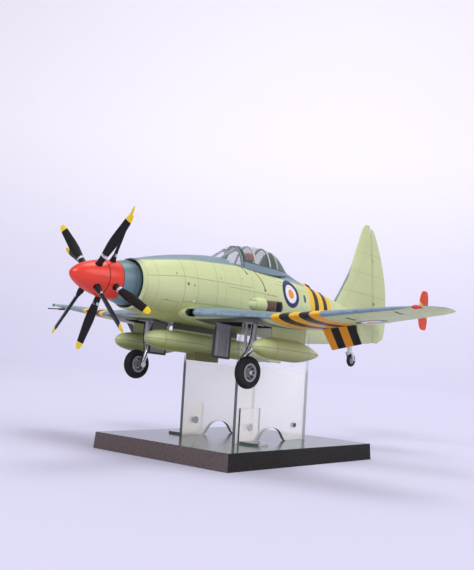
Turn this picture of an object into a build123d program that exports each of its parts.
from build123d import *
from math import cos, radians, sin
import os

# A 1:48 display model of a carrier strike aeroplane with contra-rotating propellers, resting on a
# clear cradle and a black plinth.  Millimetres.
#
# The aircraft is drawn in its own frame: nose towards -Y, port wing towards +X, Z up, with the
# spinner's tip at the origin.  DISPLAY then carries every aircraft piece to its place on the stand.
# The stand is drawn where it stands: its origin is the centre of the plinth's underside.

# ---------------------------------------------------------------- stand
BASE_WIDTH = 100.0  # across the aircraft, X
BASE_LENGTH = 120.0  # along the aircraft, Y
BASE_THICK = 9.0
BASE_DRAFT = 0.6  # how much each side spreads towards the floor
PLATE_X = 20.0  # middle of each cradle plate
PLATE_THICK = 2.0
PLATE_MIDDLE = 6.0  # station of the plates' middle, a little aft of the plinth's
PLATE_HALF_LENGTH = 30.0
PLATE_TOP = 71.0
PLATE_SLOT = 3.0  # depth of the plate in the plinth
ARCH_HALF_WIDTH = 13.0
ARCH_HEIGHT = 7.5
HOLE_REACH = 20.0  # of each hole from the plate's middle
BRACKET_WIDTH = 16.0
BRACKET_HEIGHT = 18.5
BRACKET_THICK = 1.2
BRACKET_FOOT = 11.0
RIVET_RADIUS = 1.3
RIVET_HEIGHT = 8.5  # above the plinth's top

# ---------------------------------------------------------------- aircraft on the stand
NOSE_UP = 3.0  # degrees
OVER_BASE_Y = 125.0  # the aircraft station above the middle of the plinth
OVER_BASE_Z = 74.0  # thrust line above the plinth's top there
DISPLAY = Pos(0, 0, BASE_THICK) * Rot(-NOSE_UP, 0, 0) * Pos(0, -OVER_BASE_Y, OVER_BASE_Z)
SEAT_GAP = 0.3  # air between the wing and the cradle

# ---------------------------------------------------------------- fuselage
WALL = 1.2
# station y, half width, lowest z, z of the greatest width, highest z
STATIONS = [
    (36.4, 12.6, -12.8, 0.0, 12.9),
    (45, 13.6, -14.0, 0.0, 15.3),
    (60, 14.6, -15.2, 0.0, 18.9),
    (80, 15.2, -15.8, 0.5, 22.4),
    (98, 15.2, -16.0, 0.5, 24.2),
    (120, 14.9, -16.0, 1.0, 23.9),
    (145, 14.0, -16.0, 1.5, 22.9),
    (165, 12.3, -15.8, 2.0, 21.2),
    (185, 10.0, -14.9, 2.5, 18.5),
    (205, 7.6, -12.9, 2.8, 15.2),
    (225, 5.2, -10.8, 2.6, 11.6),
    (243, 3.1, -9.0, 1.6, 8.6),
    (252, 2.0, -7.9, 0.9, 7.4),
]
COCKPIT_FRONT = 99.0
COCKPIT_REAR = 144.0
COCKPIT_HALF_WIDTH = 7.6
SEAT_Y = 110.5  # front of the ejection seat

# ---------------------------------------------------------------- nose and propellers
LIP_FRONT = 34.4
LIP_OUTER = 12.7
LIP_INNER = 12.0
RING_RADIUS = 11.1
SPINNER_REAR = 24.5
SPINNER_SPLIT = 16.6
SPINNER_RADIUS = 9.8
SPINNER_WALL = 1.0
SPINNER_GAP = 0.3
FRONT_PLANE = 12.1  # station of the front blades
REAR_PLANE = 21.0
BLADE_TIP = 37.9
BLADES = 4
FRONT_ANGLE = 43.0  # first blade, from straight up towards port
REAR_ANGLE = 25.0
SHANK = 1.5
SHAFT = 1.2
RUNNING_GAP = 0.05

# ---------------------------------------------------------------- wing
# x, nose y, tail y, z of the chord, thickness
INNER_WING = [(3, 60.0, 129.0, -10.3, 9.8), (63, 71.0, 124.5, -11.3, 6.8)]
OUTER_WING = [
    (63.3, 71.0, 124.5, -11.3, 6.7),
    (95, 77.0, 119.0, -8.1, 4.7),
    (120, 81.8, 114.2, -5.5, 3.3),
    (131, 85.4, 111.6, -4.4, 2.5),
    (137, 90.0, 109.0, -3.8, 1.8),
    (140, 94.6, 106.2, -3.5, 1.1),
    (141, 98.4, 103.4, -3.4, 0.6),
]
HINGE_SHARE = 0.73  # hinge line, as a share of the chord
FLAP_SPAN = (66.0, 86.0)
AILERON_SPAN = (87.5, 131.0)
FLAP_DOWN = 55.0  # how far the flaps hang at rest
HINGE_GAP = 0.45
PIN_SHARE = 0.42  # hinge pin radius, as a share of the nose radius of the surface that it carries
PIN_PLAY = 0.06  # radial clearance round a hinge pin
FLAP_PINS = (1.5, 0.66)  # how far the pins stand out of the inboard and outboard ends
AILERON_PINS = (0.66, 1.4)
ELEVATOR_PINS = (0.0, 1.2)
LUG_THICK = 1.0  # hinge lugs of the rudder and the elevators
LUG_ROOM = 0.25
WELL = (25.4, 48.0, 75.0, 98.0, -10.0)  # x, x, y, y and ceiling z of the wheel well
INTAKE_X = (15.0, 18.6)

# ---------------------------------------------------------------- tail
# z, nose y, tail y, thickness
FIN = [
    (-7.4, 236.0, 260.5, 2.4),
    (-4.0, 220.0, 266.4, 3.4),
    (6.0, 203.0, 268.8, 4.6),
    (16.0, 207.6, 268.3, 4.5),
    (24.0, 213.2, 267.2, 4.2),
    (33.0, 218.8, 265.4, 3.7),
    (45.0, 224.4, 260.8, 3.0),
    (57.0, 228.7, 254.4, 2.2),
    (66.0, 232.0, 248.3, 1.4),
    (70.2, 234.6, 244.0, 0.9),
    (71.6, 237.4, 240.8, 0.5),
]
RUDDER_FOOT = (0, 254.6, -8.5)  # the rudder's hinge line, produced past both ends
RUDDER_HEAD = (0, 243.0, 72.0)
RUDDER_NOSE = (1.75, 0.45)
RUDDER_LUGS = (0.34, 0.70)  # where the lugs stand, as shares of the hinge line
ELEVATOR_LUGS = (0.16, 0.62)
# x, nose y, tail y, z, thickness
TAILPLANE = [
    (1.5, 226.0, 263.6, 6.8, 4.2),
    (25, 232.5, 261.6, 10.9, 3.2),
    (45, 238.3, 259.4, 14.4, 2.3),
    (53, 242.0, 257.8, 15.8, 1.6),
    (56.4, 245.4, 255.8, 16.4, 1.0),
    (57.4, 248.4, 253.4, 16.6, 0.5),
]
ELEVATOR_SPAN = (6.8, 52.0)
ELEVATOR_HINGE_Y = 252.6
FINLET_X = 43.0
# z, nose y, tail y, thickness
FINLET = [
    (1.8, 244.4, 249.0, 0.5),
    (3.2, 242.4, 250.2, 0.8),
    (8.0, 240.4, 251.0, 1.1),
    (14.0, 239.8, 251.2, 1.2),
    (20.0, 240.4, 251.0, 1.1),
    (25.4, 242.2, 250.0, 0.8),
    (27.0, 244.2, 248.8, 0.5),
]

# ---------------------------------------------------------------- canopy
CANOPY_FLOOR = 13.0
GLASS = 0.7
# station y, half width, highest z
WINDSCREEN = [(89.0, 7.4, 22.0), (104.6, 9.4, 32.3), (108.6, 9.5, 32.7)]
HOOD = [
    (109.4, 9.6, 32.7),
    (117, 9.7, 34.2),
    (126, 9.7, 35.2),
    (134, 9.5, 35.2),
    (140.5, 8.8, 34.0),
    (145.5, 7.8, 31.8),
    (149.5, 6.7, 29.0),
    (152.8, 5.6, 26.6),
]
# The spine behind the cockpit, which the hood slides back over: y, half width, highest z
SPINE = [
    (145.0, 3.2, 24.4),
    (150, 3.8, 25.2),
    (154, 4.1, 25.2),
    (161, 4.3, 23.5),
    (170, 4.1, 21.6),
    (182, 3.4, 18.2),
]
HOOD_TRAVEL = 24.0
HOOD_GAP = 0.3

# ---------------------------------------------------------------- undercarriage
LEG_X = 40.0
LEG_Y = 86.5
LEG_RADIUS = 1.7
OLEO_RADIUS = 1.1
LEG_FOOT = -24.0
FORK_X = 37.2
AXLE_Y = 82.4
AXLE_Z = -38.0
AXLE_RADIUS = 0.8
WHEEL_X = 42.0
TYRE_RADIUS = 8.2
TYRE_WIDTH = 5.8
RIM_RADIUS = 4.6
DOOR_X = 25.0
TAIL_WHEEL = (0.0, 231.5, -21.0)
TAIL_TYRE = 4.3
TAIL_PIVOT_Y = 229.0
TAIL_AXLE = 0.45

# ---------------------------------------------------------------- stores
BELLY_TANK = (50.0, 158.0, -25.0, 5.3)  # nose y, tail y, z, radius
BELLY_CRUTCH = (-3.4, 3.4), (83.0, 101.0), (-33.6, -28.0)
DROP_TANK = (74.0, 126.0, -25.2, 5.6)
DROP_TANK_X = 52.0

os.makedirs("parts", exist_ok=True)


def keep(part, name):
    """Write a piece that is already in the stand's frame."""
    part.label = name
    export_step(part, f"parts/{name}.step")


def keep_aircraft(part, name):
    """Write an aircraft piece, carried to its place on the stand."""
    keep(DISPLAY * part, name)


def both_sides(part, port_name, starboard_name):
    """Write a port piece and its mirror image as two nodes."""
    keep_aircraft(part, port_name)
    keep_aircraft(mirror(part, about=Plane.YZ), starboard_name)


def pair(part):
    """A port piece and its mirror image as one group of separate solids."""
    return Compound(children=[*part.solids(), *mirror(part, about=Plane.YZ).solids()])


def largest(part):
    """The biggest solid of a part, without the crumbs a cut can leave."""
    return Part(children=[part.solids().sort_by(SortBy.VOLUME)[-1]])


def oval(y, half_width, z_low, z_wide, z_high, inset=0.0):
    """A fuselage cross-section: two half ellipses that meet where the body is widest."""
    with BuildSketch(Plane.XZ.offset(-y)) as sketch:
        with BuildLine():
            EllipticalCenterArc((0, z_wide), half_width - inset, z_high - z_wide - inset, 0, arc_size=180)
            EllipticalCenterArc((0, z_wide), half_width - inset, z_wide - z_low - inset, 180, arc_size=180)
        make_face()
    return sketch.sketch


def arch(y, half_width, z_high, inset=0.0):
    """A canopy cross-section: half an ellipse on a straight foot."""
    with BuildSketch(Plane.XZ.offset(-y)) as sketch:
        with BuildLine():
            height = z_high - CANOPY_FLOOR - inset
            EllipticalCenterArc((0, CANOPY_FLOOR), half_width - inset, height, 0, arc_size=180)
            Line((inset - half_width, CANOPY_FLOOR), (half_width - inset, CANOPY_FLOOR))
        make_face()
    return sketch.sketch


def parting(thickness):
    """How far a section's two skins slant where they part at the nose, as moulded halves do."""
    return min(0.15, thickness / 30)


def aerofoil(nose, tail, level, thickness, edge=0.4):
    """Lower curve, blunt edge and upper curve of a section from nose to tail, for a BuildLine."""
    middle = (nose + tail) / 2
    front = nose + parting(thickness)
    upper = level + 0.58 * thickness, level + 0.85 * thickness, level + edge / 2
    lower = level - 0.50 * thickness, level - 0.65 * thickness, level - edge / 2
    Bezier((nose, level), (front, lower[0]), (middle, lower[1]), (tail, lower[2]))
    Line((tail, lower[2]), (tail, upper[2]))
    Bezier((tail, upper[2]), (middle, upper[1]), (front, upper[0]), (nose, level))


def wing_section(x, y_nose, y_tail, z, thickness):
    """A section of a wing or tailplane, square to the span."""
    with BuildSketch(Plane.YZ.offset(x)) as sketch:
        with BuildLine():
            aerofoil(y_nose, y_tail, z, thickness, min(0.4, thickness / 2))
        make_face()
    return sketch.sketch


def fin_section(z, y_nose, y_tail, thickness, x=0.0):
    """A level section of a fin: the same curve on both sides."""
    middle = (y_nose + y_tail) / 2
    edge = min(0.2, thickness / 4)
    with BuildSketch(Plane.XY.offset(z)) as sketch:
        with BuildLine():
            for side in (1, -1):
                Bezier(
                    (x, y_nose),
                    (x + side * 0.55 * thickness, y_nose + parting(thickness)),
                    (x + side * 0.75 * thickness, middle),
                    (x + side * edge, y_tail),
                )
            Line((x + edge, y_tail), (x - edge, y_tail))
        make_face()
    return sketch.sketch


def along_span(table, x):
    """The wing's nose y, tail y, chord z and thickness at x, between the table's sections."""
    for near, far in zip(table, table[1:]):
        if near[0] <= x <= far[0]:
            share = (x - near[0]) / (far[0] - near[0])
            return [a + share * (b - a) for a, b in zip(near[1:], far[1:])]
    raise ValueError(f"x={x} is off the table")


def hinge_end(x):
    """Where the outer wing's hinge line crosses x, the nose radius of the surface hung there, and
    its tail edge."""
    nose, tail, z, thickness = along_span(OUTER_WING, x)
    y = nose + HINGE_SHARE * (tail - nose)
    return y, z + 0.035 * thickness, 0.29 * thickness + 0.1, tail, z


def room_behind(span, ends):
    """The room a control surface needs in its wing: all that lies behind its nose, with a gap."""
    (y_in, _, r_in, *_), (y_out, _, r_out, *_) = ends
    inner, outer = span[0] - HINGE_GAP, span[1] + HINGE_GAP
    with BuildPart() as room:
        with BuildSketch(Plane.XY.offset(-60)):
            with BuildLine():
                front = y_in - r_in - HINGE_GAP, y_out - r_out - HINGE_GAP
                Polyline((inner, front[0]), (outer, front[1]), (outer, 290), (inner, 290), close=True)
            make_face()
        extrude(amount=140)
    return room.part


def end_pins(span, ends, reaches, play=0.0):
    """The hinge pins at the two ends of a control surface, or with play, the bores for them."""
    inner, outer = (Vector(x, *end[:2]) for x, end in zip(span, ends))
    along = (outer - inner).normalized()
    pins = []
    for start, way, end, reach in ((inner, -along, ends[0], reaches[0]), (outer, along, ends[1], reaches[1])):
        if reach:
            pins.append(bar(start - way * 0.3, start + way * (reach + play), PIN_SHARE * end[2] + play))
    return pins


def lug_plane(centre, axis, across):
    """A plane square to a hinge line, with its second direction pointing aft."""
    return Plane(origin=centre, x_dir=across, z_dir=axis)


def lug(plane, nose_radius, reach):
    """A hinge lug: a round eye on the hinge line and an arm forward to the spar."""
    with BuildPart() as plate:
        with BuildSketch(plane):
            Circle(0.8 * nose_radius)
            with Locations((0, -reach / 2)):
                Rectangle(1.1 * nose_radius, reach)
            Circle(PIN_SHARE * nose_radius + PIN_PLAY, mode=Mode.SUBTRACT)
        extrude(amount=LUG_THICK / 2, both=True)
    return plate.part


def lug_slot(plane, nose_radius):
    """The slot in a control surface for a hinge lug, which leaves the pin standing across it."""
    back = 0.8 * nose_radius + LUG_ROOM
    with BuildPart() as slot:
        with BuildSketch(plane):
            with Locations((0, back / 2 - 2)):
                Rectangle(12, back + 4)
            Circle(PIN_SHARE * nose_radius, mode=Mode.SUBTRACT)
        extrude(amount=LUG_THICK / 2 + LUG_ROOM, both=True)
    return slot.part


def hung_surface(span, ends, reaches):
    """A control surface in line with its wing: a rounded nose on the hinge line, flat skins, a
    blunt tail edge and its hinge pins.  Each end gives hinge y, hinge z, nose radius, tail y and
    tail z; a reach is how far a pin stands out of that end, and 0 leaves it out."""
    with BuildPart() as surface:
        for x, (y, z, radius, tail_y, tail_z) in zip(span, ends):
            with BuildSketch(Plane.YZ.offset(x)):
                with BuildLine():
                    CenterArc((y, z), radius, 90, 180)
                    Polyline((y, z - radius), (tail_y, tail_z - 0.2), (tail_y, tail_z + 0.2),
                             (y, z + radius))
                make_face()
        loft(ruled=True)
        for pin in end_pins(span, ends, reaches):
            add(pin)
    return surface.part


def bar(a, b, radius):
    """A round bar from a to b."""
    a, b = Vector(*a), Vector(*b)
    with BuildPart() as rod:
        with Locations(Plane(origin=a, z_dir=b - a).location):
            Cylinder(radius, (b - a).length, align=(Align.CENTER, Align.CENTER, Align.MIN))
    return rod.part


def block(x, y, z):
    """A box between the two x, two y and two z values."""
    with BuildPart() as box:
        with Locations(((x[0] + x[1]) / 2, (y[0] + y[1]) / 2, (z[0] + z[1]) / 2)):
            Box(x[1] - x[0], y[1] - y[0], z[1] - z[0])
    return box.part


# ================================================================ aircraft bodies
with BuildPart() as body_outside:
    loft([oval(*station) for station in STATIONS])

with BuildPart() as body_inside:
    front = (STATIONS[0][0] - 1, *STATIONS[0][1:])
    loft([oval(*station, inset=WALL) for station in (front, *STATIONS[1:-1])])

solid_body = body_outside.part

with BuildPart() as tail_blade:
    loft([fin_section(*row) for row in FIN])

# ================================================================ wing
with BuildPart() as inner_wing:
    loft([wing_section(*row) for row in INNER_WING])
    add(block(WELL[0:2], WELL[2:4], (-30, WELL[4])), mode=Mode.SUBTRACT)
    with BuildSketch(Plane.XZ.offset(-50)):
        with Locations((sum(INTAKE_X) / 2, -10.6)):
            Trapezoid(INTAKE_X[1] - INTAKE_X[0], 3.6, 70, 90)
    extrude(amount=-20, mode=Mode.SUBTRACT)
    add(solid_body, mode=Mode.SUBTRACT)
both_sides(inner_wing.part, "inner_wing_port", "inner_wing_starboard")

with BuildPart() as wing_blank:
    loft([wing_section(*row) for row in OUTER_WING], ruled=True)

flap_ends = [hinge_end(x) for x in FLAP_SPAN]
aileron_ends = [hinge_end(x) for x in AILERON_SPAN]

with BuildPart() as outer_wing:
    add(wing_blank.part)
    add(room_behind(FLAP_SPAN, flap_ends), mode=Mode.SUBTRACT)
    add(room_behind(AILERON_SPAN, aileron_ends), mode=Mode.SUBTRACT)
    for bore in end_pins(FLAP_SPAN, flap_ends, FLAP_PINS, PIN_PLAY):
        add(bore, mode=Mode.SUBTRACT)
    for bore in end_pins(AILERON_SPAN, aileron_ends, AILERON_PINS, PIN_PLAY):
        add(bore, mode=Mode.SUBTRACT)
both_sides(outer_wing.part, "outer_wing_port", "outer_wing_starboard")

aileron = hung_surface(AILERON_SPAN, aileron_ends, AILERON_PINS)
both_sides(aileron, "aileron_port", "aileron_starboard")

flap_start, flap_end = (Vector(x, *end[:2]) for x, end in zip(FLAP_SPAN, flap_ends))
flap_axis = Axis(flap_start, flap_end - flap_start)
flap = hung_surface(FLAP_SPAN, flap_ends, FLAP_PINS).rotate(flap_axis, -FLAP_DOWN)
both_sides(flap, "flap_port", "flap_starboard")

# ================================================================ tail
with BuildPart() as tailplane_blank:
    loft([wing_section(*row) for row in TAILPLANE], ruled=True)


def elevator_end(x):
    """The elevator's hinge line, nose radius and tail edge at x."""
    nose, tail, z, thickness = along_span(TAILPLANE, x)
    return ELEVATOR_HINGE_Y, z, 0.24 * thickness + 0.15, tail, z


elevator_ends = [elevator_end(x) for x in ELEVATOR_SPAN]


def between(a, b, share):
    """A value part of the way from a to b."""
    return a + (b - a) * share


elevator_line = [Vector(x, *end[:2]) for x, end in zip(ELEVATOR_SPAN, elevator_ends)]
elevator_lugs = [
    (
        lug_plane(between(*elevator_line, share), elevator_line[0] - elevator_line[1], (0, 0, 1)),
        between(elevator_ends[0][2], elevator_ends[1][2], share),
    )
    for share in ELEVATOR_LUGS
]

rudder_line = Vector(*RUDDER_HEAD) - Vector(*RUDDER_FOOT)
rudder_lugs = [
    (
        lug_plane(Vector(*RUDDER_FOOT) + rudder_line * share, rudder_line, (1, 0, 0)),
        between(*RUDDER_NOSE, share),
    )
    for share in RUDDER_LUGS
]
rudder_plane = Plane(origin=RUDDER_FOOT, x_dir=rudder_line, z_dir=(0, rudder_line.Z, -rudder_line.Y))
RUDDER_GAP = RUDDER_NOSE[0] + HINGE_GAP

with BuildPart() as rudder_post:
    with Locations(Plane(origin=RUDDER_FOOT, z_dir=rudder_line).location):
        Cone(*RUDDER_NOSE, rudder_line.length, align=(Align.CENTER, Align.CENTER, Align.MIN))

with BuildPart() as rudder:
    add(tail_blade.part)
    split(bisect_by=rudder_plane, keep=Keep.TOP)
    add(rudder_post.part)
    for spot, radius in rudder_lugs:
        add(lug_slot(spot, radius), mode=Mode.SUBTRACT)
    add(block((-9, 9), (200, 300), (-7.2, 69.5)), mode=Mode.INTERSECT)
keep_aircraft(rudder.part, "rudder")

with BuildPart() as clear_of_rudder:
    add(block((-9, 9), (190, 300), (-20, 90)))
    split(bisect_by=rudder_plane.offset(-RUDDER_GAP), keep=Keep.TOP)

with BuildPart() as fin:
    add(tail_blade.part)
    add(clear_of_rudder.part, mode=Mode.SUBTRACT)
    add(solid_body, mode=Mode.SUBTRACT)
    add(block((-9, 9), (190, 300), (-20, 6)), mode=Mode.SUBTRACT)
    for spot, radius in rudder_lugs:
        add(lug(spot, radius, RUDDER_GAP + 0.8))
keep_aircraft(fin.part, "fin")

with BuildPart() as tailplane:
    add(tailplane_blank.part)
    add(room_behind(ELEVATOR_SPAN, elevator_ends), mode=Mode.SUBTRACT)
    add(block((0, ELEVATOR_SPAN[0]), (250, 280), (-20, 40)), mode=Mode.SUBTRACT)
    add(solid_body, mode=Mode.SUBTRACT)
    add(tail_blade.part, mode=Mode.SUBTRACT)
    for bore in end_pins(ELEVATOR_SPAN, elevator_ends, ELEVATOR_PINS, PIN_PLAY):
        add(bore, mode=Mode.SUBTRACT)
    for spot, radius in elevator_lugs:
        add(lug(spot, radius, radius + HINGE_GAP + 0.8))
both_sides(tailplane.part, "tailplane_port", "tailplane_starboard")

with BuildPart() as elevator_blank:
    add(hung_surface(ELEVATOR_SPAN, elevator_ends, ELEVATOR_PINS))
    for spot, radius in elevator_lugs:
        add(lug_slot(spot, radius), mode=Mode.SUBTRACT)
elevator = elevator_blank.part
both_sides(elevator, "elevator_port", "elevator_starboard")

with BuildPart() as finlet:
    loft([fin_section(*row, x=FINLET_X) for row in FINLET])
    add(tailplane.part, mode=Mode.SUBTRACT)
keep_aircraft(pair(finlet.part), "finlets")

# ================================================================ fuselage shells
# Exhaust stubs leave each side behind the wing; the hole for each is a little wider than its pipe.
EXHAUST_AXIS = ((12.6, 112.0, 0.2), (16.6, 138.5, 1.6))
EXHAUST_RADIUS = 3.2
EXHAUST_BORE = 2.6
EXHAUST_MOUTH = (17.0, 134.5, 1.3)
EXHAUST_MOUTH_FACING = (0.75, 0.66, 0)
# A fairing swells from the skin round each exhaust: distance along the axis, radius
EXHAUST_FAIRING = [(-8.5, 0.7), (-4.5, 2.6), (0.0, 3.8), (4.5, 4.3), (9.5, 4.2)]

exhaust_start, exhaust_end = (Vector(*p) for p in EXHAUST_AXIS)
exhaust_way = (exhaust_end - exhaust_start).normalized()

with BuildPart() as exhaust_fairing:
    sections = []
    for along, radius in EXHAUST_FAIRING:
        with BuildSketch(Plane(origin=exhaust_start + exhaust_way * along, z_dir=exhaust_way)) as section:
            Circle(radius)
        sections.append(section.sketch)
    loft(sections)

with BuildPart() as spine:
    loft([arch(*row) for row in SPINE])

with BuildPart() as fuselage:
    add(solid_body)
    add(pair(exhaust_fairing.part))
    add(spine.part)
    add(body_inside.part, mode=Mode.SUBTRACT)
    add(
        block(
            (-COCKPIT_HALF_WIDTH, COCKPIT_HALF_WIDTH), (COCKPIT_FRONT, COCKPIT_REAR), (10, 40)
        ),
        mode=Mode.SUBTRACT,
    )
    for side in (1, -1):
        ends = [(side * x, y, z) for x, y, z in EXHAUST_AXIS]
        add(bar(*ends, EXHAUST_RADIUS), mode=Mode.SUBTRACT)
    add(bar((0, TAIL_PIVOT_Y, -20), (0, TAIL_PIVOT_Y, 0), 1.2), mode=Mode.SUBTRACT)
    add(clear_of_rudder.part, mode=Mode.SUBTRACT)

with BuildPart() as port_shell:
    add(fuselage.part)
    split(bisect_by=Plane.YZ, keep=Keep.TOP)
both_sides(port_shell.part, "fuselage_port", "fuselage_starboard")

with BuildPart() as exhaust:
    add(bar(*EXHAUST_AXIS, EXHAUST_RADIUS))
    start, end = (Vector(*p) for p in EXHAUST_AXIS)
    add(bar(start + (end - start) * 0.12, end + (end - start) * 0.1, EXHAUST_BORE), mode=Mode.SUBTRACT)
    # the mouth is cut on the slant, so that it faces outboard
    with Locations(Plane(origin=EXHAUST_MOUTH, z_dir=EXHAUST_MOUTH_FACING).location):
        Box(30, 30, 20, align=(Align.CENTER, Align.CENTER, Align.MIN), mode=Mode.SUBTRACT)
keep_aircraft(pair(exhaust.part), "exhaust_pipes")

# ================================================================ nose
with BuildPart() as cowl_lip:
    with BuildSketch(Plane.YZ):
        with Locations(((LIP_FRONT + 36.3) / 2, (LIP_OUTER + LIP_INNER) / 2)):
            Rectangle(36.3 - LIP_FRONT, LIP_OUTER - LIP_INNER)
    revolve(axis=Axis.Y)
    fillet(cowl_lip.edges().group_by(Axis.Y)[0], 0.3)
keep_aircraft(cowl_lip.part, "cowl_lip")

RING_FRONT = SPINNER_REAR + 0.5
BULKHEAD = (41.0, 43.0)
with BuildPart() as nose_ring:
    with BuildSketch(Plane.YZ):
        with BuildLine():
            Polyline((BULKHEAD[0], RING_RADIUS - 1.2), (BULKHEAD[0], RING_RADIUS), (34, RING_RADIUS))
            Bezier((34, RING_RADIUS), (30, RING_RADIUS), (28, 10.3), (RING_FRONT, 9.7))
            Polyline(
                (RING_FRONT, 9.7),
                (RING_FRONT, 3.0),
                (RING_FRONT + 1.2, 3.0),
                (RING_FRONT + 1.2, 8.4),
                (BULKHEAD[0], RING_RADIUS - 1.2),
            )
        make_face()
    revolve(axis=Axis.Y)
keep_aircraft(nose_ring.part, "nose_ring")

with BuildPart() as nose_bulkhead:
    with Locations((0, sum(BULKHEAD) / 2, 0)):
        Cylinder(11.9, BULKHEAD[1] - BULKHEAD[0], rotation=(90, 0, 0))
    add(bar((0, BULKHEAD[0] - 1, 0), (0, BULKHEAD[1] + 1, 0), SHAFT), mode=Mode.SUBTRACT)
keep_aircraft(nose_bulkhead.part, "nose_bulkhead")

with BuildPart() as prop_shaft:
    add(bar((0, 5.0, 0), (0, BULKHEAD[1], 0), SHAFT))
    add(bar((0, 4.2, 0), (0, 5.4, 0), 2.2))
keep_aircraft(prop_shaft.part, "prop_shaft")


# ================================================================ propellers
def spinner_shell(y_from, y_to):
    """The part of the hollow spinner between two stations."""
    with BuildPart() as shell:
        with BuildSketch(Plane.YZ):
            with BuildLine():
                Bezier((0, 0), (0, 2.4), (5, 6.4), (14, 9.2), (SPINNER_REAR, SPINNER_RADIUS))
                Polyline((SPINNER_REAR, SPINNER_RADIUS), (SPINNER_REAR, 0), (0, 0))
            make_face()
        revolve(axis=Axis.Y)
        with BuildSketch(Plane.YZ):
            with BuildLine():
                inner = SPINNER_RADIUS - SPINNER_WALL
                Bezier((1.6, 0), (1.6, 1.6), (6.6, 5.6), (15, 8.2), (SPINNER_REAR + 1, inner))
                Polyline((SPINNER_REAR + 1, inner), (SPINNER_REAR + 1, 0), (1.6, 0))
            make_face()
        revolve(axis=Axis.Y, mode=Mode.SUBTRACT)
        add(block((-20, 20), (y_from, y_to), (-20, 20)), mode=Mode.INTERSECT)
    return shell.part


def outward(angle):
    """The radial direction of a blade, turned from straight up towards port."""
    return Vector(sin(radians(angle)), 0, cos(radians(angle)))


def blade(plane_y, angle, hand):
    """One blade: a round shank that flattens, twists and tapers to a rounded tip."""
    # radius, chord, thickness, angle of the chord from the plane of rotation
    rows = [
        (10.0, 2 * SHANK, 2 * SHANK, 42),
        (13.0, 3.4, 1.9, 38),
        (18.0, 4.4, 1.5, 33),
        (25.0, 4.6, 1.2, 28),
        (32.0, 3.9, 0.9, 24),
        (36.4, 2.9, 0.7, 22),
        (BLADE_TIP, 1.6, 0.4, 22),
    ]
    direction = outward(angle)
    sections = []
    for radius, chord, thick, pitch in rows:
        origin = Vector(0, plane_y, 0) + direction * radius
        across = Vector(0, 1, 0).cross(direction)
        chord_line = across * cos(radians(pitch)) + Vector(0, hand * sin(radians(pitch)), 0)
        with BuildSketch(Plane(origin=origin, x_dir=chord_line, z_dir=direction)) as section:
            Ellipse(chord / 2, thick / 2)
        sections.append(section.sketch)
    with BuildPart() as one:
        loft(sections)
        centre = Vector(0, plane_y, 0)
        add(bar(centre + direction * 3.0, centre + direction * rows[0][0], SHANK))
    return one.part


def propeller(name, plane_y, y_from, y_to, first_angle, hand):
    """A spinner shell, a hub and its blades."""
    angles = [first_angle + 360 / BLADES * i for i in range(BLADES)]
    hub_half = min(plane_y - y_from, y_to - plane_y, 3.2) - 0.4
    with BuildPart() as shell:
        add(spinner_shell(y_from, y_to))
        for angle in angles:
            centre = Vector(0, plane_y, 0)
            add(bar(centre, centre + outward(angle) * 14, SHANK + 0.25), mode=Mode.SUBTRACT)
    with BuildPart() as hub:
        add(bar((0, plane_y - hub_half, 0), (0, plane_y + hub_half, 0), 5.2))
        for angle in angles:
            centre = Vector(0, plane_y, 0)
            add(bar(centre + outward(angle) * 3.0, centre + outward(angle) * 8, SHANK), mode=Mode.SUBTRACT)
        # a thin web carries the spinner's shell on the hub
        add(bar((0, plane_y + hub_half - 0.8, 0), (0, plane_y + hub_half, 0), 7.9))
        add(spinner_shell(0, SPINNER_REAR), mode=Mode.SUBTRACT)
        add(bar((0, 0, 0), (0, 40, 0), SHAFT + RUNNING_GAP), mode=Mode.SUBTRACT)
    keep_aircraft(shell.part, f"{name}_spinner")
    keep_aircraft(hub.part, f"{name}_hub")
    blades = [blade(plane_y, angle, hand).solid() for angle in angles]
    keep_aircraft(Compound(children=blades), f"{name}_blades")


propeller("front", FRONT_PLANE, -1, SPINNER_SPLIT, FRONT_ANGLE, 1)
propeller("rear", REAR_PLANE, SPINNER_SPLIT + SPINNER_GAP, SPINNER_REAR, REAR_ANGLE, -1)


# ================================================================ canopy
def canopy_skin(table, ruled=False):
    """A canopy moulding, one wall thick, open underneath."""
    first, last = table[0], table[-1]
    longer = [(first[0] - 0.5, *first[1:]), *table[1:-1], (last[0] + 0.5, *last[1:])]
    with BuildPart() as skin:
        loft([arch(*row) for row in table], ruled=ruled)
        inner = loft([arch(*row, inset=GLASS) for row in longer], ruled=ruled, mode=Mode.PRIVATE)
        add(inner, mode=Mode.SUBTRACT)
    return skin.part


def framed(skin, frames, names):
    """Divide a canopy moulding into painted frames and clear panes."""
    with BuildPart() as metal:
        add(skin)
        add(frames, mode=Mode.INTERSECT)
    with BuildPart() as panes:
        add(skin)
        add(frames, mode=Mode.SUBTRACT)
    keep_aircraft(largest(metal.part), names[0])
    keep_aircraft(panes.part, names[1])


def band(y, z=(0, 60), x=(-20, 20)):
    return block(x, y, z)


with BuildPart() as windscreen:
    add(canopy_skin(WINDSCREEN, ruled=True))
    add(solid_body, mode=Mode.SUBTRACT)
with BuildPart() as windscreen_frames:
    add(band((107.2, 109)))
    add(band((88, 92.4)))
    add(band((88, 109), (0, 21.2)))
    for x in (-4.6, 4.0):
        add(band((88, 109), x=(x, x + 0.6)))
framed(windscreen.part, windscreen_frames.part, ("windscreen_frame", "windscreen_glass"))

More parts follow.
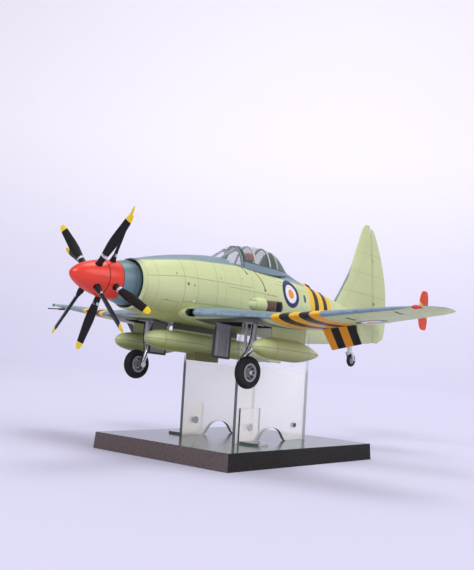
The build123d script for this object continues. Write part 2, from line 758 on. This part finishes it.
with BuildPart() as hood:
    add(canopy_skin(HOOD))
    for step in (0, 0.5, 1):
        clear = Pos(0, step * HOOD_TRAVEL, HOOD_GAP) * solid_body
        add(clear, mode=Mode.SUBTRACT)
with BuildPart() as hood_frames:
    add(band((109.3, 110.9)))
    add(band((118.5, 119.6)))
    add(band((131.2, 132.4)))
    add(band((138.6, 153.0)))
    add(band((109.3, 153), (0, 24.0)))
framed(hood.part, hood_frames.part, ("hood_frame", "hood_glass"))

# ================================================================ cockpit
TUB = (-8.2, 8.2), (98.0, 144.6), (2.0, 16.0)
with BuildPart() as cockpit_tub:
    add(block(*TUB))
    add(block((-7.4, 7.4), (98.8, 143.8), (2.8, 20)), mode=Mode.SUBTRACT)
    for side in (1, -1):
        add(block(sorted((side * 5.2, side * 7.6)), (104, 140), (2.4, 12.0)))
    fillet(cockpit_tub.edges().filter_by(Axis.Z).group_by(Axis.Y)[-1], 0.6)
keep_aircraft(cockpit_tub.part, "cockpit_tub")

with BuildPart() as ejection_seat:
    with BuildSketch(Plane.YZ.offset(-3.6)):
        with BuildLine():
            Polyline(
                (SEAT_Y, 3.0), (SEAT_Y, 9.0), (SEAT_Y + 1, 9.6), (SEAT_Y + 8.6, 8.4),
                (SEAT_Y + 11, 25.4), (SEAT_Y + 13.4, 25.4), (SEAT_Y + 14, 3.0), close=True,
            )
        make_face()
    extrude(amount=7.2)
    fillet(ejection_seat.edges().filter_by(Axis.X), 0.5)
    add(block((-2.8, 2.8), (SEAT_Y + 0.6, SEAT_Y + 8), (8.6, 14)), mode=Mode.SUBTRACT)
    for side in (1, -1):
        add(bar((side * 2.6, SEAT_Y + 13.6, 6.0), (side * 2.2, SEAT_Y + 14.6, 26.8), 0.7))
keep_aircraft(ejection_seat.part, "ejection_seat")

with BuildPart() as headrest:
    with Locations((0, SEAT_Y + 11.0, 28.2)):
        Box(5.4, 3.6, 5.2)
    fillet(headrest.edges().filter_by(Axis.Y), 1.6)
    fillet(headrest.edges().group_by(Axis.Y)[0], 0.7)
keep_aircraft(headrest.part, "headrest")

with BuildPart() as cockpit_controls:
    with BuildSketch(Plane.XZ.offset(-101)):
        with BuildLine():
            ThreePointArc((-7.0, 15.0), (0, 22.6), (7.0, 15.0))
            Polyline((7.0, 15.0), (6.4, 8.0), (-6.4, 8.0), (-7.0, 15.0))
        make_face()
    extrude(amount=1.4)
    add(bar((0, 106.5, 2.9), (0, 108.0, 12.0), 0.5))
    add(bar((0, 108.0, 12.0), (0, 108.3, 14.2), 0.9))
keep_aircraft(cockpit_controls.part, "cockpit_controls")

# ================================================================ main undercarriage
with BuildPart() as main_leg:
    add(bar((LEG_X, LEG_Y, WELL[4]), (LEG_X, LEG_Y, LEG_FOOT), LEG_RADIUS))
    add(bar((LEG_X, LEG_Y - 7, -12.4), (LEG_X, LEG_Y + 7, -12.4), 1.3))
    add(bar((LEG_X, LEG_Y, LEG_FOOT + 2.6), (LEG_X, LEG_Y, LEG_FOOT + 1.4), 2.1))
    add(bar((LEG_X, LEG_Y, LEG_FOOT - 1), (LEG_X, LEG_Y, LEG_FOOT + 1.2), OLEO_RADIUS), mode=Mode.SUBTRACT)
keep_aircraft(pair(main_leg.part), "main_legs")

# The fork is cranked inboard, past the tyre, and carries the wheel on one side only.
KNUCKLE = (LEG_X, LEG_Y, -26.2)
CRANK = (FORK_X, LEG_Y - 1.3, -29.6)
with BuildPart() as main_oleo:
    add(bar((LEG_X, LEG_Y, LEG_FOOT + 1.2), KNUCKLE, OLEO_RADIUS))
    with Locations(KNUCKLE):
        Sphere(1.5)
    add(bar(KNUCKLE, CRANK, 1.35))
    with Locations(CRANK):
        Sphere(1.35)
    add(bar(CRANK, (FORK_X, AXLE_Y, AXLE_Z), 1.2))
    add(bar((FORK_X - 1.2, AXLE_Y, AXLE_Z), (FORK_X + 1.7, AXLE_Y, AXLE_Z), 1.7))
    add(bar((FORK_X, AXLE_Y, AXLE_Z), (WHEEL_X + 2.2, AXLE_Y, AXLE_Z), AXLE_RADIUS))
keep_aircraft(pair(main_oleo.part), "main_oleos")

with BuildPart() as gear_stay:
    stay_foot = Vector(FORK_X - 0.6, LEG_Y - 1.6, -28.8)
    add(bar((34.4, LEG_Y + 0.4, WELL[4]), stay_foot, 0.75))
    add(bar((28.0, LEG_Y + 5, -15.6), (LEG_X, LEG_Y, -16.4), 0.6))
    add(bar((28.0, LEG_Y + 5, -15.6), (28.0, LEG_Y + 5, WELL[4]), 0.6))
    upper, elbow, lower = (LEG_Y + 1.6, -20.4), (LEG_Y + 4.6, -23.8), (LEG_Y + 0.9, -26.6)
    add(bar((LEG_X, *upper), (LEG_X, *elbow), 0.7))
    add(bar((LEG_X, *elbow), (LEG_X, *lower), 0.7))
    add(block(WELL[0:2], WELL[2:4], (WELL[4], 0)), mode=Mode.SUBTRACT)
    add(main_leg.part, mode=Mode.SUBTRACT)
    add(main_oleo.part, mode=Mode.SUBTRACT)
keep_aircraft(pair(gear_stay.part), "gear_stays")

# A door hangs from the inboard edge of each wheel well, ribbed on the side that faces the leg.
with BuildPart() as gear_door:
    with BuildSketch(Plane.YZ.offset(DOOR_X - 0.4)):
        with BuildLine():
            Polyline((76.2, -12.6), (74.0, -19.6), (74.0, -32.0), (87.0, -32.0), (87.0, -19.6),
                     (84.6, -12.6), close=True)
        make_face()
    extrude(amount=-0.8)
    for y in (76.4, 80.1, 83.8):
        add(block((DOOR_X - 0.5, DOOR_X + 0.2), (y, y + 0.8), (-30.8, -18.0)))
    for z in (-19.0, -25.0, -30.8):
        add(block((DOOR_X - 0.5, DOOR_X + 0.2), (76.4, 84.6), (z, z + 0.8)))
    add(inner_wing.part, mode=Mode.SUBTRACT)
keep_aircraft(pair(gear_door.part), "gear_doors")


def wheel(radius, width, rim, bore):
    """A tyre and its hub, centred on the origin with the axle along X."""
    shoulder = 0.62 * width / 2
    with BuildPart() as tyre:
        with BuildSketch(Plane.XZ):
            with BuildLine():
                Polyline((-shoulder, rim), (shoulder, rim))
                Bezier((shoulder, rim), (width * 0.62, rim + 0.35 * (radius - rim)),
                       (width * 0.42, radius), (0, radius))
                Bezier((0, radius), (-width * 0.42, radius),
                       (-width * 0.62, rim + 0.35 * (radius - rim)), (-shoulder, rim))
            make_face()
        revolve(axis=Axis.X)
        if radius > 6:
            for offset_x in (-0.9, 0.0, 0.9):
                with BuildSketch(Plane.XZ):
                    with Locations((offset_x, radius)):
                        Rectangle(0.22, 0.5)
                revolve(axis=Axis.X, mode=Mode.SUBTRACT)
    with BuildPart() as hub:
        with BuildSketch(Plane.XZ):
            with BuildLine():
                Polyline(
                    (-shoulder, rim), (shoulder, rim), (shoulder, rim * 0.84), (0.45, rim * 0.74),
                    (0.45, rim * 0.40), (width * 0.36, rim * 0.30), (width * 0.36, bore),
                    (-width * 0.36, bore), (-width * 0.36, rim * 0.30), (-0.45, rim * 0.40),
                    (-0.45, rim * 0.74), (-shoulder, rim * 0.84), close=True,
                )
            make_face()
        revolve(axis=Axis.X)
        with Locations(Plane.YZ.offset(-2)):
            with PolarLocations(rim * 0.57, 8):
                Cylinder(rim * 0.12, 8, align=(Align.CENTER, Align.CENTER, Align.MIN), mode=Mode.SUBTRACT)
    return tyre.part, hub.part


main_tyre, main_hub = wheel(TYRE_RADIUS, TYRE_WIDTH, RIM_RADIUS, AXLE_RADIUS + RUNNING_GAP)
at_axle = Pos(WHEEL_X, AXLE_Y, AXLE_Z)
both_sides(at_axle * main_tyre, "main_tyre_port", "main_tyre_starboard")
both_sides(at_axle * main_hub, "main_hub_port", "main_hub_starboard")

# ================================================================ tail undercarriage
PIVOT_RADIUS = 1.2
with BuildPart() as tail_leg:
    add(bar((0, TAIL_PIVOT_Y, -13.6), (0, TAIL_PIVOT_Y, 0), PIVOT_RADIUS))
    add(bar((0, TAIL_PIVOT_Y, -13.6), (0, TAIL_PIVOT_Y, -12.4), 1.7))
keep_aircraft(tail_leg.part, "tail_leg")

with BuildPart() as tail_fork:
    wheel_y, wheel_z = TAIL_WHEEL[1:]
    add(bar((0, TAIL_PIVOT_Y, -16.4), (0, TAIL_PIVOT_Y, -13.7), 1.5))
    add(block((-2.6, 2.6), (TAIL_PIVOT_Y - 1.1, TAIL_PIVOT_Y + 1.1), (-16.9, -15.9)))
    for side in (1, -1):
        add(bar((side * 2.2, TAIL_PIVOT_Y, -16.4), (side * 2.2, wheel_y, wheel_z), 0.7))
    add(bar((-2.8, wheel_y, wheel_z), (2.8, wheel_y, wheel_z), TAIL_AXLE))
keep_aircraft(tail_fork.part, "tail_fork")

tail_tyre, tail_hub = wheel(TAIL_TYRE, 2.4, 2.2, TAIL_AXLE + RUNNING_GAP)
keep_aircraft(Pos(*TAIL_WHEEL) * tail_tyre, "tail_tyre")
keep_aircraft(Pos(*TAIL_WHEEL) * tail_hub, "tail_hub")


# ================================================================ stores
def tank(x, nose, tail, z, radius, pylon_y, pylon_top):
    """A fuel tank with a rounded nose, a pointed tail and the pylon that holds it."""
    with BuildPart() as body:
        with BuildSketch(Plane.YZ):
            with BuildLine():
                shoulder, waist = nose + 3.4 * radius, tail - 4.2 * radius
                Bezier((nose, 0), (nose, 0.75 * radius), (nose + 1.6 * radius, radius), (shoulder, radius))
                Line((shoulder, radius), (waist, radius))
                Bezier((waist, radius), (waist + 1.9 * radius, radius), (tail, 0.16 * radius), (tail, 0))
                Line((tail, 0), (nose, 0))
            make_face()
        revolve(axis=Axis.Y)
    moved = Pos(x, 0, z) * body.part
    with BuildPart() as whole:
        with BuildSketch(Plane.XY.offset(z)):
            with Locations((x, sum(pylon_y) / 2)):
                Ellipse(1.3, (pylon_y[1] - pylon_y[0]) / 2)
        extrude(amount=pylon_top - z)
        add(moved)
    return whole.part


with BuildPart() as belly_tank:
    add(tank(0, *BELLY_TANK, (68.0, 118.0), -14.0))
    for angle in (45, 135, 225, 315):
        with Locations(Location((0, 0, BELLY_TANK[2]), (0, angle, 0))):
            with Locations((0, BELLY_TANK[1] - 10.0, 3.4)):
                Box(0.8, 11.0, 5.0)
    add(solid_body, mode=Mode.SUBTRACT)
keep_aircraft(belly_tank.part, "belly_tank")

with BuildPart() as belly_crutch:
    add(block(*BELLY_CRUTCH))
    fillet(belly_crutch.edges().filter_by(Axis.Y).group_by(Axis.Z)[0], 0.8)
    add(block((-2.4, 2.4), (84.2, 99.8), (-36, -32.4)), mode=Mode.SUBTRACT)
    add(belly_tank.part, mode=Mode.SUBTRACT)
keep_aircraft(belly_crutch.part, "belly_crutch")

with BuildPart() as drop_tank:
    add(tank(DROP_TANK_X, *DROP_TANK, (86.0, 114.0), -12.0))
    with Locations((DROP_TANK_X, DROP_TANK[1] - 9.0, DROP_TANK[2])):
        Box(7.0, 8.0, 0.7)
    add(inner_wing.part, mode=Mode.SUBTRACT)
with BuildPart() as drop_tank_clear:
    add(drop_tank.part)
    add(block((0, 90), (40, 160), (-13.2, 10)), mode=Mode.SUBTRACT)
keep_aircraft(pair(drop_tank_clear.part), "drop_tanks")

with BuildPart() as pitot:
    add(bar((118, 72.0, -8.2), (118, 84.0, -7.2), 0.35))
    add(bar((118, 80.0, -7.6), (118, 84.5, -7.1), 0.6))
    add(wing_blank.part, mode=Mode.SUBTRACT)
keep_aircraft(mirror(pitot.part, about=Plane.YZ), "pitot_probe")

# ================================================================ stand
with BuildPart() as base:
    with BuildSketch():
        Rectangle(BASE_WIDTH + 2 * BASE_DRAFT, BASE_LENGTH + 2 * BASE_DRAFT)
    with BuildSketch(Plane.XY.offset(BASE_THICK)):
        Rectangle(BASE_WIDTH, BASE_LENGTH)
    loft()
    with BuildSketch(Plane.XY.offset(BASE_THICK)):
        for side in (1, -1):
            for end in (1, -1):
                middle = PLATE_MIDDLE + end * (PLATE_HALF_LENGTH + ARCH_HALF_WIDTH) / 2
                with Locations((side * PLATE_X, middle)):
                    Rectangle(PLATE_THICK, PLATE_HALF_LENGTH - ARCH_HALF_WIDTH)
    extrude(amount=-PLATE_SLOT, mode=Mode.SUBTRACT)
keep(base.part, "base")

HOLE_Z = BASE_THICK + RIVET_HEIGHT
RIVET_Y = PLATE_MIDDLE - HOLE_REACH
foot_z, inner, outer = BASE_THICK - PLATE_SLOT, ARCH_HALF_WIDTH, PLATE_HALF_LENGTH
with BuildPart() as plate:
    with BuildSketch(Plane((PLATE_X - PLATE_THICK / 2, PLATE_MIDDLE, 0), x_dir=(0, 1, 0), z_dir=(1, 0, 0))):
        with BuildLine():
            Polyline((-inner, BASE_THICK), (-inner, foot_z), (-outer, foot_z), (-outer, PLATE_TOP - 5))
            # an ear with a rounded corner stands at each end, with a dip between them
            RadiusArc((-outer, PLATE_TOP - 5), (5 - outer, PLATE_TOP), 5)
            Line((5 - outer, PLATE_TOP), (-2, PLATE_TOP))
            Bezier((-2, PLATE_TOP), (4, PLATE_TOP), (2, PLATE_TOP - 9), (9, PLATE_TOP - 9))
            Bezier((9, PLATE_TOP - 9), (17, PLATE_TOP - 9), (14, PLATE_TOP), (20, PLATE_TOP))
            Line((20, PLATE_TOP), (outer - 5, PLATE_TOP))
            RadiusArc((outer - 5, PLATE_TOP), (outer, PLATE_TOP - 5), 5)
            Polyline((outer, PLATE_TOP - 5), (outer, foot_z), (inner, foot_z), (inner, BASE_THICK))
            arch_top = BASE_THICK + ARCH_HEIGHT
            Bezier((inner, BASE_THICK), (inner * 0.7, BASE_THICK), (inner * 0.75, arch_top), (0, arch_top))
            Bezier((0, arch_top), (-inner * 0.75, arch_top), (-inner * 0.7, BASE_THICK), (-inner, BASE_THICK))
        make_face()
    extrude(amount=PLATE_THICK)
    add(Pos(0, 0, -SEAT_GAP) * (DISPLAY * inner_wing.part), mode=Mode.SUBTRACT)
    for end in (1, -1):
        y = PLATE_MIDDLE + end * HOLE_REACH
        for z in (HOLE_Z, PLATE_TOP - 12):
            add(bar((0, y, z), (40, y, z), RIVET_RADIUS), mode=Mode.SUBTRACT)
keep(largest(plate.part), "plate_port")
keep(mirror(largest(plate.part), about=Plane.YZ), "plate_starboard")

# Each bracket is an L: a tab riveted to the outside of its plate and a round-ended foot.
with BuildPart() as bracket:
    face = PLATE_X + PLATE_THICK / 2
    tab_y, tab_top = BRACKET_WIDTH / 2, BASE_THICK + BRACKET_HEIGHT
    with BuildSketch(Plane((face, RIVET_Y, 0), x_dir=(0, 1, 0), z_dir=(1, 0, 0))):
        with BuildLine():
            Polyline((-tab_y, BASE_THICK), (tab_y - 4, BASE_THICK), (tab_y, BASE_THICK + 5),
                     (tab_y, tab_top), (-tab_y, tab_top), close=True)
        make_face()
    extrude(amount=BRACKET_THICK)
    with BuildSketch(Plane.XY.offset(BASE_THICK)):
        with Locations((face + BRACKET_FOOT / 2, RIVET_Y - 2)):
            SlotOverall(2 * BRACKET_FOOT - 4, BRACKET_WIDTH - 4)
    extrude(amount=BRACKET_THICK)
    add(block((0, face), (-60, 60), (0, 60)), mode=Mode.SUBTRACT)
    add(bar((0, RIVET_Y, HOLE_Z), (60, RIVET_Y, HOLE_Z), RIVET_RADIUS), mode=Mode.SUBTRACT)
keep(bracket.part, "bracket_port")
keep(mirror(bracket.part, about=Plane.YZ), "bracket_starboard")

with BuildPart() as rivet:
    inside, outside = PLATE_X - PLATE_THICK / 2, PLATE_X + PLATE_THICK / 2 + BRACKET_THICK
    add(bar((inside - 0.6, RIVET_Y, HOLE_Z), (outside + 0.6, RIVET_Y, HOLE_Z), RIVET_RADIUS))
    add(bar((outside, RIVET_Y, HOLE_Z), (outside + 0.6, RIVET_Y, HOLE_Z), RIVET_RADIUS + 0.7))
    add(bar((inside - 0.6, RIVET_Y, HOLE_Z), (inside, RIVET_Y, HOLE_Z), RIVET_RADIUS + 0.7))
keep(pair(rivet.part), "bracket_rivets")
